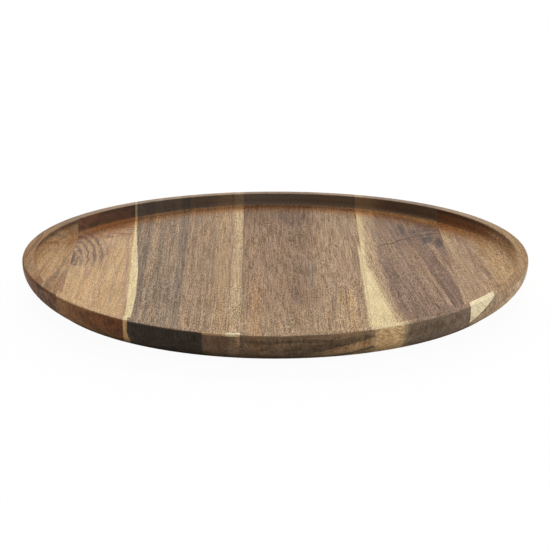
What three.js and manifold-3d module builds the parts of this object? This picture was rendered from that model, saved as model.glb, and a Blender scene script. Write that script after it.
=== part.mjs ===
// Round wooden charger plate, turned from a panel of edge-glued staves, with a lip that rises at both ends.
// Millimetres, +Z up, resting on Z = 0, centred on the turning axis.
// The front faces -Y and the grain of every stave runs along Y.

import * as THREE from 'three';
import { mergeVertices } from 'three/addons/utils/BufferGeometryUtils.js';
import Module from 'manifold-3d';

// Turned outline: the height is that of the lip at the front and back, where it is lowest
const RIM_RADIUS = 165;
const HEIGHT = 19;
const END_RISE = 3.6;
const LIP_WIDTH = 7;
const LIP_OUTER_EDGE = 1.5;
const LIP_INNER_EDGE = 0.8;
const FOOT_INSET = 14;
const FOOT_EDGE = 1;
const WALL_TURN_IN = 2.3;

// Well that takes the dinner plate
const WELL_DEPTH = 8;
const WELL_DRAFT = 1;
const COVE_RADIUS = 4;

// Glued panel: widths are measured across the plate on its centre line
const LEFT_END_WIDTH = 29.4;
const SECOND_WIDTH = 40.2;
const FIFTH_WIDTH = 58.1;
const RIGHT_END_WIDTH = 48.9;
const THIRD_SHARE = 0.4805;

// Lean of each joint off the grain direction, in degrees
const FIRST_JOINT_LEAN = 0;
const SECOND_JOINT_LEAN = 1.5;
const THIRD_JOINT_LEAN = 0;
const FOURTH_JOINT_LEAN = 0;
const FIFTH_JOINT_LEAN = 0.9;

// Cured glue between the staves
const GLUE_FILM = 0.2;
const GLUE_CLEARANCE = 0.05;

// Fineness of the turned surfaces
const TURN_STEPS = 180;
const WALL_STEPS = 12;
const EDGE_STEPS = 4;
const COVE_STEPS = 6;

const wasm = await Module();
wasm.setup();

// Points of an arc about (r, z), angles in degrees from +r towards +Z
function arc(r, z, radius, from, to, steps) {
  const points = [];
  for (let i = 0; i <= steps; i += 1) {
    const angle = THREE.MathUtils.degToRad(from + ((to - from) * i) / steps);
    points.push(new THREE.Vector2(r + radius * Math.cos(angle), z + radius * Math.sin(angle)));
  }
  return points;
}

// Outer wall from the foot up: upright under the lip, turning in faster towards the foot
function outerWall() {
  const top = HEIGHT - LIP_OUTER_EDGE;
  const points = [];
  for (let i = 0; i <= WALL_STEPS; i += 1) {
    const z = FOOT_EDGE + ((top - FOOT_EDGE) * i) / WALL_STEPS;
    const drop = (top - z) / (top - FOOT_EDGE);
    points.push(new THREE.Vector2(RIM_RADIUS - FOOT_INSET * drop ** WALL_TURN_IN, z));
  }
  return points;
}

// Outer half section, from the axis under the foot round to the top of the lip
function outerSection() {
  const edge = RIM_RADIUS - LIP_OUTER_EDGE;
  return [
    new THREE.Vector2(0, 0),
    new THREE.Vector2(RIM_RADIUS - FOOT_INSET - FOOT_EDGE, 0),
    ...outerWall(),
    ...arc(edge, HEIGHT - LIP_OUTER_EDGE, LIP_OUTER_EDGE, 0, 90, EDGE_STEPS).slice(1),
  ];
}

// Half section of the well, from the top of the lip down to the axis
function wellSection(floor) {
  const lip = RIM_RADIUS - LIP_WIDTH;
  const wall = lip - WELL_DRAFT;
  return [
    ...arc(lip + LIP_INNER_EDGE, HEIGHT - LIP_INNER_EDGE, LIP_INNER_EDGE, 90, 180, EDGE_STEPS),
    ...arc(wall - COVE_RADIUS, floor + COVE_RADIUS, COVE_RADIUS, 0, -90, COVE_STEPS),
    new THREE.Vector2(0, floor),
  ];
}

// Closed solid from a three.js geometry
function solidOf(geometry) {
  const bare = geometry.clone();
  bare.deleteAttribute('normal');
  bare.deleteAttribute('uv');
  const merged = mergeVertices(bare, 1e-4);
  const index = merged.index.array;
  const faces = [];
  for (let i = 0; i < index.length; i += 3) {
    const [a, b, c] = [index[i], index[i + 1], index[i + 2]];
    if (a !== b && b !== c && c !== a) {
      faces.push(a, b, c);
    }
  }
  const vertProperties = new Float32Array(merged.attributes.position.array);
  const triVerts = new Uint32Array(faces);
  return new wasm.Manifold(new wasm.Mesh({ numProp: 3, vertProperties, triVerts }));
}

// Turned body whose lip rises towards both ends across the grain, while its foot and floor stay flat
function turnedBody() {
  const floor = HEIGHT - WELL_DEPTH;
  const outer = outerSection();
  const well = wellSection(floor);
  const share = [...outer.map((p) => p.y / HEIGHT), ...well.map((p) => (p.y - floor) / WELL_DEPTH)];
  const geometry = new THREE.LatheGeometry([...outer, ...well], TURN_STEPS).rotateX(Math.PI / 2);
  const position = geometry.attributes.position;
  for (let i = 0; i < position.count; i += 1) {
    const rise = END_RISE * (position.getX(i) / RIM_RADIUS) ** 2;
    position.setZ(i, position.getZ(i) + rise * share[i % share.length]);
  }
  return solidOf(geometry);
}

// Named mesh from a solid
function pieceOf(solid, name, material) {
  const { vertProperties, triVerts } = solid.getMesh();
  const geometry = new THREE.BufferGeometry();
  geometry.setAttribute('position', new THREE.BufferAttribute(vertProperties, 3));
  geometry.setIndex(new THREE.BufferAttribute(triVerts, 1));
  geometry.computeVertexNormals();
  const mesh = new THREE.Mesh(geometry, material);
  mesh.name = name;
  return mesh;
}

// Upright block between two lines that cross the plate from front to back
function block(left, right) {
  const reach = RIM_RADIUS + HEIGHT;
  const outline = new THREE.Shape([
    new THREE.Vector2(left(-reach), -reach),
    new THREE.Vector2(right(-reach), -reach),
    new THREE.Vector2(right(reach), reach),
    new THREE.Vector2(left(reach), reach),
  ]);
  const geometry = new THREE.ExtrudeGeometry(outline, { depth: 3 * HEIGHT, bevelEnabled: false });
  geometry.translate(0, 0, -HEIGHT);
  return solidOf(geometry);
}

// Line of a joint moved sideways by a distance square to it
function jointLine(joint, aside) {
  const lean = THREE.MathUtils.degToRad(joint.lean);
  return (y) => joint.x - y * Math.tan(lean) + aside / Math.cos(lean);
}

const firstX = LEFT_END_WIDTH - RIM_RADIUS;
const secondX = firstX + SECOND_WIDTH;
const fifthX = RIM_RADIUS - RIGHT_END_WIDTH;
const fourthX = fifthX - FIFTH_WIDTH;
const thirdX = secondX + (fourthX - secondX) * THIRD_SHARE;

const joints = [
  { x: firstX, lean: FIRST_JOINT_LEAN },
  { x: secondX, lean: SECOND_JOINT_LEAN },
  { x: thirdX, lean: THIRD_JOINT_LEAN },
  { x: fourthX, lean: FOURTH_JOINT_LEAN },
  { x: fifthX, lean: FIFTH_JOINT_LEAN },
];

const staves = [
  { name: 'left_end_stave', slot: 'golden_wood', colour: 0xa9825a },
  { name: 'second_stave', slot: 'honey_wood', colour: 0xb8936b },
  { name: 'third_stave', slot: 'taupe_wood', colour: 0x94806c },
  { name: 'fourth_stave', slot: 'russet_wood', colour: 0x8f7058 },
  { name: 'fifth_stave', slot: 'plum_wood', colour: 0x857066 },
  { name: 'right_end_stave', slot: 'tan_wood', colour: 0xa58463 },
];

const turned = turnedBody();
const outside = RIM_RADIUS + HEIGHT;
const halfGap = GLUE_FILM / 2 + GLUE_CLEARANCE;

const plate = new THREE.Group();
plate.name = 'charger_plate';

staves.forEach((stave, i) => {
  const left = i === 0 ? () => -outside : jointLine(joints[i - 1], halfGap);
  const right = i === joints.length ? () => outside : jointLine(joints[i], -halfGap);
  const material = new THREE.MeshStandardMaterial({ color: stave.colour, roughness: 0.55 });
  material.name = stave.slot;
  plate.add(pieceOf(turned.intersect(block(left, right)), stave.name, material));
});

const glue = new THREE.MeshStandardMaterial({ color: 0x6b4a2c, roughness: 0.4 });
glue.name = 'cured_glue';
['first', 'second', 'third', 'fourth', 'fifth'].forEach((ordinal, i) => {
  const film = block(jointLine(joints[i], -GLUE_FILM / 2), jointLine(joints[i], GLUE_FILM / 2));
  plate.add(pieceOf(turned.intersect(film), `${ordinal}_glue_line`, glue));
});

export default plate;
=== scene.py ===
"""Looks of a round wooden charger plate: six turned staves and the glue lines between them.

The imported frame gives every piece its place. Each stave is a numpy surface of the turned section,
and its wood is a solid pattern of grain, streaks, pores, knots and sapwood that runs through the
board.
"""

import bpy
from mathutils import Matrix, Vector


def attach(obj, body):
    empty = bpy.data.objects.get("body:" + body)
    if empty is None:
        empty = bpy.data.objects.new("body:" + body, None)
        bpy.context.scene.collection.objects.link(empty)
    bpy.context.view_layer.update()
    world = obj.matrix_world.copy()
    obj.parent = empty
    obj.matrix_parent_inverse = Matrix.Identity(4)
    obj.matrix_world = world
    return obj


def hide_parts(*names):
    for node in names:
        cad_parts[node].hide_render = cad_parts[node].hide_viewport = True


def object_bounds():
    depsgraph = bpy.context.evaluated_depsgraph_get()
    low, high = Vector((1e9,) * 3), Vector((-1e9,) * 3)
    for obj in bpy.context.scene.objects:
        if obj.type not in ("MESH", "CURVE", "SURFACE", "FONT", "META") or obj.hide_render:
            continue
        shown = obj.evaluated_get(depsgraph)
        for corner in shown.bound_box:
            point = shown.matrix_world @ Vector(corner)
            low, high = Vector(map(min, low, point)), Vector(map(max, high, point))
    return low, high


bl_info = {
    "name": "Charger Plate",
    "version": (1, 0, 0),
    "blender": (4, 5, 0),
    "location": "View3D > Sidebar > Charger Plate",
    "description": "Builds the staves, glue lines and stage of a turned wooden charger plate",
    "category": "Add Mesh",
}

import math

import bpy
import numpy as np
from mathutils import Vector

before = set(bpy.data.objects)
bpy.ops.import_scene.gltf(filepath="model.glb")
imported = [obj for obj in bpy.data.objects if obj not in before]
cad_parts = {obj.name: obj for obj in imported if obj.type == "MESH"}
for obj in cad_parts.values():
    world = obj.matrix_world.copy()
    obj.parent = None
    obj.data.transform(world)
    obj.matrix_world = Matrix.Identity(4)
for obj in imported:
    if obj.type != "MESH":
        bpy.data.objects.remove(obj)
CAD_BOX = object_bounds()

MM = 0.001
BODY = "root"

# Half of the CAD box across
RIM_RADIUS = (CAD_BOX[1][0] - CAD_BOX[0][0]) / 2

# Joints from left to right: place on the centre line, and lean off the grain in degrees
JOINTS_MM = (-135.6, -95.4, -21.7, 58.0, 116.1)
LEANS = (0.0, 1.5, 0.0, 0.0, 0.9)

# Points along each run of the rim's section
COVE_POINTS = 13
WALL_POINTS = 3
INNER_EDGE_POINTS = 8
LIP_POINTS = 5
OUTER_EDGE_POINTS = 10

# Outward direction at the broken edge of the foot, as radius and height
FOOT_NORMAL = (0.5, -0.86)

# Places across the softened edge of a board, as shares of its width
ARRIS_STEPS = (0.0, 0.3, 0.6, 1.0)

# Share of its joint that a glue line fills
GLUE_FILL = 0.98

# Faces that meet at more than this keep a sharp edge
SHARP_ANGLE = math.radians(40)

# Patterns that the boards share: sizes across, along and up the fibres, in millimetres
WANDER = (50, 130, 50)
FRAY = (0.9, 90, 0.9)
TEAR = (1.6, 18, 4)
WAVE = (7, 22, 7)
GRIT = (0.42, 2.0, 0.42)
THREAD = (0.55, 30, 0.55)
STRAND = (1.9, 42, 1.9)
TINT = (2.6, 60, 2.6)
PORES = (1.1, 9.0, 1.1)
PORE_CROWDS = (5.0, 60, 15)

# How far those patterns push the fibres, in millimetres
WANDER_REACH = (5, 9, 3)
FRAY_REACH = 1.3
WAVE_REACH = 1.4

# Patterns of the turned outer wall: sizes on the plate, in millimetres
SPECKS = (0.8, 0.8, 0.8)
UPRIGHT_STREAKS = (1.4, 1.4, 14)
BLOTCHES = (8, 8, 5)
RAY_FLECKS = (5.0, 1.1, 40)

# What the dark and the light side of a pattern leave of the colour under it
GRAIN_DARK, GRAIN_LIGHT = (0.46, 0.41, 0.34), (1.54, 1.59, 1.66)
TINT_WARM, TINT_COOL = (1.22, 0.97, 0.66), (0.78, 1.03, 1.34)
MOTTLE_DARK, MOTTLE_LIGHT = (0.48, 0.44, 0.40), (1.52, 1.56, 1.60)

# How far a pattern moves for each unit of a board's seed
SEED_STRIDE = (17.3, 9.1, 5.7)

# Oiled wood: roughness, share of mirror light, and relief of the pores
ROUGHNESS = 0.62
SHEEN = 0.2
RELIEF = 0.12 * MM
RELIEF_STRENGTH = 0.35

# Half knot in the second board: middle, half width, half length at its core, per ring and at first
KNOT_MIDDLE = (-136.5, 10.0)
KNOT_WIDTH = 18.0
KNOT_CORE_LENGTH = 24.0
KNOT_RING_LENGTH = 43.0
KNOT_FIRST_LENGTH = 63.0

# Lamps: name, setting of their power, width and height, place, and whether the wood mirrors them
LAMPS = (
    ("back_lamp", "back_power", (3.2, 2.0), (0.0, 2.8, 1.38), False),
    ("top_lamp", "top_power", (1.0, 1.0), (0.10, -0.45, 1.5), True),
    ("side_lamp", "side_power", (0.8, 0.3), (1.6, -0.35, 0.2), True),
)

# Floor: half its width, its level a hair under the foot, and where its shadow fades out
FLOOR_REACH = 6.0
FLOOR_LEVEL = -0.1 * MM
FLOOR_FADE_MM = (200, 600)

SENSOR_MM = 36.0
WHITE = (1.0, 1.0, 1.0)


def length(name, default, description):
    """A size in metres that a user may change."""
    return bpy.props.FloatProperty(
        name=name,
        description=description,
        default=default,
        min=0.0,
        precision=5,
        subtype="DISTANCE",
        unit="LENGTH",
    )


def amount(name, default, description, subtype="NONE", unit="NONE"):
    """A number that a user may change."""
    return bpy.props.FloatProperty(
        name=name, description=description, default=default, subtype=subtype, unit=unit
    )


def angle(name, degrees, description):
    """An angle that a user may change."""
    return amount(name, math.radians(degrees), description, "ANGLE", "ROTATION")


def watts(name, default, description):
    """A lamp's power that a user may change."""
    return amount(name, default, description, unit="POWER")


def tone(name, default, description):
    """A colour that a user may change, in linear values."""
    return bpy.props.FloatVectorProperty(
        name=name,
        description=description,
        default=default,
        size=3,
        min=0.0,
        max=1.0,
        subtype="COLOR",
    )


class PlateForm(bpy.types.PropertyGroup):
    """Sizes of the turned section and of the fine mesh over it."""

    rim_radius: length("Rim radius", RIM_RADIUS, "Radius of the widest ring")
    height: length("Height", 19 * MM, "From the foot to the top of the lip at the front and back")
    end_rise: length("End rise", 3.6 * MM, "How much higher the lip stands at both ends")
    lip_width: length("Lip width", 7 * MM, "Width of the flat lip with its edges")
    lip_outer_edge: length("Lip outer edge", 1.5 * MM, "Rounding of the lip's outer edge")
    lip_inner_edge: length("Lip inner edge", 0.8 * MM, "Rounding of the lip's inner edge")
    foot_inset: length("Foot inset", 14 * MM, "How far the outer wall turns in above the foot")
    foot_edge: length("Foot edge", 1 * MM, "Broken edge around the foot")
    wall_turn_in: amount("Wall turn-in", 2.3, "How late the wall turns in: 1 is a straight cone")
    well_depth: length("Well depth", 8 * MM, "From the lip down to the floor of the well")
    well_draft: length("Well draft", 1 * MM, "Inward lean of the well's wall")
    cove_radius: length("Cove radius", 4 * MM, "Hollow between the well's wall and its floor")
    glue_film: length("Glue film", 0.1 * MM, "Thickness of a cured glue line")
    glue_sink: length("Glue sink", 0.04 * MM, "How far the glue lies below the wood around it")
    arris: length("Arris depth", 0.1 * MM, "How deep each board's edge is softened at a joint")
    arris_width: length("Arris width", 0.35 * MM, "How wide each board's edge is softened")
    pitch_across: length("Pitch across", 1.0 * MM, "Spacing of the mesh across the grain")
    pitch_along: length("Pitch along", 1.6 * MM, "Spacing of the mesh along the grain")


class WoodTones(bpy.types.PropertyGroup):
    """Colours of the six boards and their glue."""

    cream: tone("Cream", (0.76, 0.605, 0.345), "Sapwood")
    pale: tone("Pale", (0.90, 0.76, 0.49), "Sapwood of the right end board")
    straw: tone("Straw", (0.50, 0.35, 0.205), "Between sapwood and heartwood")
    golden: tone("Golden", (0.485, 0.295, 0.15), "Left end board")
    amber: tone("Amber", (0.42, 0.22, 0.095), "Orange patches")
    moss: tone("Moss", (0.225, 0.175, 0.12), "Grey-green streaks of the left end board")
    honey: tone("Honey", (0.60, 0.395, 0.215), "Second board")
    rose: tone("Rose", (0.43, 0.285, 0.19), "Pinkish bands of the second board")
    damson: tone("Damson", (0.165, 0.105, 0.085), "Dark arcs around the cut knot")
    rust: tone("Rust", (0.24, 0.105, 0.05), "Rust-brown wood behind the knot")
    taupe: tone("Taupe", (0.285, 0.205, 0.145), "Third board")
    slate: tone("Slate", (0.195, 0.145, 0.108), "Grey streaks of the third board")
    fawn: tone("Fawn", (0.365, 0.245, 0.155), "Browner side of the third board")
    russet: tone("Russet", (0.335, 0.218, 0.137), "Fourth board")
    umber: tone("Umber", (0.17, 0.108, 0.072), "Dark figure of the fourth board")
    biscuit: tone("Biscuit", (0.46, 0.32, 0.20), "Light streaks of the fourth board")
    plum: tone("Plum", (0.275, 0.178, 0.125), "Heartwood of the fifth board")
    smoke: tone("Smoke", (0.14, 0.102, 0.086), "Grey clouds of the fifth board")
    tan: tone("Tan", (0.42, 0.28, 0.172), "Right end board")
    wheat: tone("Wheat", (0.49, 0.32, 0.165), "Golden side of the right end board")
    pore: tone("Pore", (0.085, 0.05, 0.032), "Hairlines and small spots")
    char: tone("Char", (0.085, 0.066, 0.050), "Blackened end grain of the front wall")
    # Bloom and sheen: a painted greyish sheen on the lip at the back, and greyish bloom on the fourth
    # board's back wall
    bloom_and_sheen: tone("Bloom", (0.37, 0.285, 0.21), "Greyish bloom on the lip at the back")
    vessel: tone("Vessel", (0.44, 0.37, 0.28), "What an open pore keeps of the colour around it")
    # Oil and corner glow: oil soaked into end grain on the outer walls, and painted shade with an
    # orange glow in the back corner of the well
    oil_and_corner_glow: tone("Oiled", (1.0, 0.72, 0.48), "What wood keeps of its colour where oil gathered")
    # Inner wall: darker well wall, partly its end grain and partly painted shade, most at the back
    wall_end_grain_and_shade: tone("Inner wall", (0.42, 0.40, 0.39), "What the well's wall keeps of its colour")
    # Shaded lip: painted shade on the lip at the sides and back, strongest at the left end
    shaded_lip: tone("Shaded lip", (0.72, 0.67, 0.64), "What the handled lip keeps of its colour")
    glue: tone("Glue", (0.23, 0.14, 0.075), "Cured glue")


class StageSetup(bpy.types.PropertyGroup):
    """Camera, lamps and floor."""

    lens: length("Lens", 144 * MM, "Focal length of the camera")
    pitch: angle("Pitch", 17.1, "Angle of the view below level")
    turn: angle("Turn", -0.3, "Turn of the camera around the plate")
    distance: length("Distance", 1447.3 * MM, "From the camera to the point it aims at")
    aim_height: length("Aim height", 5.84 * MM, "How far above the foot the camera aims")
    aim_left: length("Aim left", 0.2 * MM, "How far left of the middle the camera aims")
    back_power: watts("Back lamp", 146.0, "Power of the wide lamp behind the plate")
    top_power: watts("Top lamp", 6.6, "Power of the large lamp overhead")
    side_power: watts("Side lamp", 8.5, "Power of the lamp at the right")
    air: amount("Air", 0.2, "Strength of the even light from all around")
    floor: tone("Floor", (0.85, 0.85, 0.85), "Colour of the floor to the light that bounces off it")
    floor_glow: amount("Floor glow", 0.96, "Share of white in the floor by the plate", "FACTOR")


def clear_line(joint, aside):
    """Line of a joint moved sideways: returns (a, b) of x = a + b y, in metres."""
    lean = math.radians(LEANS[joint])
    return JOINTS_MM[joint] * MM + aside / math.cos(lean), -math.tan(lean)


def arc(r, z, radius, start, stop, count):
    """Arc about (r, z) from start to stop degrees: rows of radius, height and outward direction."""
    t = np.radians(np.linspace(start, stop, count))
    c, s = np.cos(t), np.sin(t)
    return np.stack([r + radius * c, z + radius * s, c, s], -1)


def straight(start, stop, normal, count):
    """Straight run between two (radius, height) points without its ends, with one direction."""
    t = np.linspace(0.0, 1.0, count + 2)[1:-1, None]
    points = (1.0 - t) * np.array(start) + t * np.array(stop)
    return np.hstack([points, np.broadcast_to(normal, (count, 2))])


def over_rim(form):
    """Section from the cove's foot up the well's wall and over the lip to the widest ring.

    Rows hold radius, height, outward direction and share of the end rise, which grows evenly with
    the height, from 0 on the well's floor to 1 on the lip.
    """
    floor = form.height - form.well_depth
    lip = form.rim_radius - form.lip_width
    wall = lip - form.well_draft
    cove, inner, outer = form.cove_radius, form.lip_inner_edge, form.lip_outer_edge
    hollow = arc(wall - cove, floor + cove, cove, -90, 0, COVE_POINTS)
    hollow[:, 2:] *= -1
    inner_edge = arc(lip + inner, form.height - inner, inner, 180, 90, INNER_EDGE_POINTS)
    outer_edge = arc(form.rim_radius - outer, form.height - outer, outer, 90, 0, OUTER_EDGE_POINTS)
    across, up = inner_edge[0, :2] - hollow[-1, :2]
    facing = np.array([-up, across]) / np.hypot(across, up)
    upright = straight(hollow[-1, :2], inner_edge[0, :2], facing, WALL_POINTS)
    flat = straight(inner_edge[-1, :2], outer_edge[0, :2], (0.0, 1.0), LIP_POINTS)
    well = np.concatenate([hollow, upright, inner_edge])
    well = np.hstack([well, (well[:, 1:2] - floor) / form.well_depth])
    top = np.concatenate([flat, outer_edge])
    return np.concatenate([well, np.hstack([top, top[:, 1:2] / form.height])])


def under_rim(form, count):
    """Section in count rows from the widest ring down the outer wall to the foot.

    The wall's radius falls by the foot inset times a power of the share of its height, so it stands
    upright under the lip and turns in towards the foot. Rows are those of over_rim, and the share of
    the end rise falls evenly to 0 at the foot.
    """
    top = form.height - form.lip_outer_edge
    drop = top - form.foot_edge
    power = form.wall_turn_in
    share = np.linspace(0.0, 1.0, count - 1)
    slope = form.foot_inset * power * share ** (power - 1) / drop
    size = np.hypot(1.0, slope)
    r = form.rim_radius - form.foot_inset * share**power
    wall = np.stack([r, top - drop * share, 1.0 / size, -slope / size], -1)
    foot = [[form.rim_radius - form.foot_inset - form.foot_edge, 0.0, *FOOT_NORMAL]]
    rows = np.concatenate([wall, foot])
    return np.hstack([rows, rows[:, 1:2] / form.height])


def rim_section(form):
    """Upper and lower section of the rim, with the same number of rows."""
    over = over_rim(form)
    return over, under_rim(form, len(over))


def end_lift(x, share, form):
    """Lift by the rise of the lip: a share of it, times the square of the place across the plate."""
    return form.end_rise * share * (x / form.rim_radius) ** 2


def crossing(a, b, r, side):
    """y where the line x = a + b y meets the circle r, on the front (-1) or back (+1) side."""
    under = np.maximum(r**2 * (1 + b**2) - a**2, 0.0)
    return (-a * b + side * np.sqrt(under)) / (1 + b**2)


def softened(distance, form):
    """How far a board sinks at a distance from its joint: a parabola over the arris width."""
    return form.arris * np.clip(1.0 - distance / form.arris_width, 0.0, 1.0) ** 2


def across_steps(width, form):
    """Places across a board from 0 to 1, close together at both joints where the edge is softened."""
    near = form.arris_width / width * np.array(ARRIS_STEPS)
    count = max(2, round(width / form.pitch_across))
    middle = np.linspace(near[-1], 1.0 - near[-1], count)
    return np.concatenate([near[:-1], middle, 1.0 - near[-2::-1]])


def slab_surface(left, right, steps, form, sink):
    """Part of the plate between two upright lines, as a grid of closed sections.

    A step across the slab gives the line between left and right. Along it the section runs from the
    widest ring at the front over the lip, the well's floor and the back lip to the widest ring at
    the back, and returns underneath. A point of radius r lies where that line crosses the circle r,
    and the floor is spread evenly between its ends. sink is how far each line of the grid lies below
    the turned surface. Returns the grid and the number of points on its upper side.
    """
    over, under = rim_section(form)
    a = (left[0] + (right[0] - left[0]) * steps)[:, None]
    b = (left[1] + (right[1] - left[1]) * steps)[:, None]
    sink = sink[:, None]
    spans = round(2 * form.rim_radius / form.pitch_along)
    spread = np.linspace(0.0, 1.0, spans + 2)[1:-1]

    def chain(rows):
        """Front rows, even floor and back rows of one side, as y, height, share and end grain."""
        r = rows[:, 0] - sink * rows[:, 2]
        z = rows[:, 1] - sink * rows[:, 3]
        front, back = crossing(a, b, r, -1), crossing(a, b, r, 1)
        run = front[:, -1:] + (back[:, -1:] - front[:, -1:]) * spread
        level = np.broadcast_to(z[:, -1:], run.shape)
        end = rows[:, 2] * np.abs(front) / r
        share = np.broadcast_to(rows[:, 4], r.shape)
        ahead = np.stack([front, z, share, end], -1)
        middle = np.stack([run, level, np.zeros_like(run), np.zeros_like(run)], -1)
        behind = np.stack([back, z, share, end], -1)
        return np.hstack([ahead, middle, behind[:, ::-1]])

    top, low = chain(over[::-1]), chain(under)
    y, z, share, end = np.moveaxis(np.concatenate([top, low[:, -2:0:-1]], axis=1), -1, 0)
    x = a + b * y
    return np.stack([x, y, z + end_lift(x, share, form), end], -1), top.shape[1]


def slab_faces(lines, loop, top):
    """Quads around each step of a slab, and its joint faces as ladders from top to underside."""
    i, k = np.meshgrid(np.arange(lines - 1), np.arange(loop), indexing="ij")
    here, after = i * loop + k, i * loop + (k + 1) % loop
    sides = np.stack([here, after, after + loop, here + loop], -1).reshape(-1, 4)
    rung = np.arange(top - 1)
    ladder = np.stack([rung, (loop - rung) % loop, loop - rung - 1, rung + 1], -1)
    return np.concatenate([sides, ladder, ladder[:, ::-1] + (lines - 1) * loop])


def end_surface(line, side, form):
    """End board cut off by one joint line, as a fan of arcs.

    Row s is a ring of the turned section with radius r and height z, from the middle of the joint on
    the floor out to the widest ring and back under the foot. Along it the angle runs between the two
    points where the joint line crosses that ring, closer together near them. side is +1 at the right
    rim and -1 at the left, which is worked out mirrored. Returns the points and the size of the grid
    between the two poles.
    """
    a, b = side * line[0], side * line[1]
    nearest = abs(a) / math.hypot(1.0, b)
    over, under = rim_section(form)
    rows = max(3, round((over[0, 0] - nearest) / form.pitch_across))
    level = np.zeros((rows, 1))
    floor = np.hstack([straight((nearest, over[0, 1]), over[0, :2], (0.0, 1.0), rows), level])
    base = np.hstack([straight(under[-1, :2], (nearest, 0.0), (0.0, -1.0), rows), level])
    pole = [[nearest, over[0, 1], 0.0, 1.0, 0.0]]
    below = [[nearest, 0.0, 0.0, -1.0, 0.0]]
    section = np.concatenate([pole, floor, over, under[1:], base, below])
    half_turn = math.acos(nearest / form.rim_radius)
    across = round(2 * form.rim_radius * half_turn / form.pitch_along)
    t = np.sin(np.linspace(-math.pi / 2, math.pi / 2, across)) * 0.5 + 0.5

    def turned(r):
        """x and y of every grid point for its radius."""
        front, back = crossing(a, b, r, -1), crossing(a, b, r, 1)
        first, last = np.arctan2(front, a + b * front), np.arctan2(back, a + b * back)
        swing = first + (last - first) * t
        return r * np.cos(swing), r * np.sin(swing)

    r = np.repeat(section[:, :1], across, axis=1)
    x, y = turned(r)
    sink = softened(np.abs(x - a - b * y), form)
    r = np.maximum(r - sink * section[:, 2:3], nearest)
    x, y = turned(r)
    z = section[:, 1:2] - sink * section[:, 3:4] + end_lift(x, section[:, 4:], form)
    end = section[:, 2:3] * np.abs(y) / r
    grid = np.stack([side * x, y, z, end], -1)
    points = np.concatenate([grid[0, :1], grid[1:-1].reshape(-1, 4), grid[-1, :1]])
    return points, len(section) - 2, across


def end_faces(rows, across):
    """Quads and triangles of an end board: fans at both poles, and the joint face as two ladders."""
    i, k = np.meshgrid(np.arange(rows - 1), np.arange(across - 1), indexing="ij")
    at = 1 + i * across + k
    quads = np.stack([at, at + across, at + across + 1, at + 1], -1).reshape(-1, 4)
    last = 1 + rows * across
    far_row = 1 + (rows - 1) * across
    k = np.arange(across - 1)
    near = np.stack([np.zeros_like(k), 1 + k, 2 + k], -1)
    far = np.stack([np.full_like(k, last), far_row + 1 + k, far_row + k], -1)

    half = np.arange((rows + 1) // 2)
    front = np.concatenate([[0], 1 + across * half])
    front_low = np.concatenate([[last], 1 + across * (rows - 1 - half)])
    back = np.where(front == 0, 0, front + across - 1)
    back_low = np.where(front_low == last, last, front_low + across - 1)
    ahead = np.stack([front[:-1], front_low[:-1], front_low[1:], front[1:]], -1)
    behind = np.stack([back[:-1], back[1:], back_low[1:], back_low[:-1]], -1)
    return np.concatenate([quads, ahead, behind]), np.concatenate([near, far])


def add_piece(name, points, quads, triangles, material):
    """Mesh object at the origin from arrays of points and faces, wound to face outwards.

    A quad that repeats a corner becomes a triangle, and the sign of the enclosed volume settles the
    winding. The fourth number of a point is its end grain: how squarely the surface cuts the grain,
    below 0 inside the well.
    """
    points, end = points[:, :3], points[:, 3]
    kept = quads != np.roll(quads, -1, axis=1)
    whole = kept.all(axis=1)
    short = quads[~whole][kept[~whole]].reshape(-1, 3)
    quads, triangles = quads[whole], np.concatenate([short, triangles])
    corners = points[np.concatenate([quads[:, :3], quads[:, [0, 2, 3]], triangles])]
    volume = np.einsum("ij,ij->", corners[:, 0], np.cross(corners[:, 1], corners[:, 2]))
    if volume < 0:
        quads, triangles = quads[:, ::-1], triangles[:, ::-1]
    mesh = bpy.data.meshes.new(name)
    mesh.from_pydata(points, [], quads.tolist() + triangles.tolist())
    mesh.polygons.foreach_set("use_smooth", np.ones(len(mesh.polygons), bool))
    mesh.set_sharp_from_angle(angle=SHARP_ANGLE)
    mesh.materials.append(material)
    mesh.validate()
    grain = mesh.attributes.new("end_grain", "FLOAT", "POINT")
    grain.data.foreach_set("value", end.astype(np.float32))
    piece = bpy.data.objects.new(name, mesh)
    bpy.context.scene.collection.objects.link(piece)
    return piece


def add_slab(name, left, right, steps, form, sink, material):
    """Piece between two upright lines, from the front rim to the back rim."""
    grid, top = slab_surface(left, right, steps, form, sink)
    faces = slab_faces(grid.shape[0], grid.shape[1], top)
    return add_piece(name, grid.reshape(-1, 4), faces, np.empty((0, 3), int), material)


def stand_for(piece, node):
    """Puts a piece in the place of its CAD node."""
    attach(piece, BODY)
    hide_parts(node)


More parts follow.
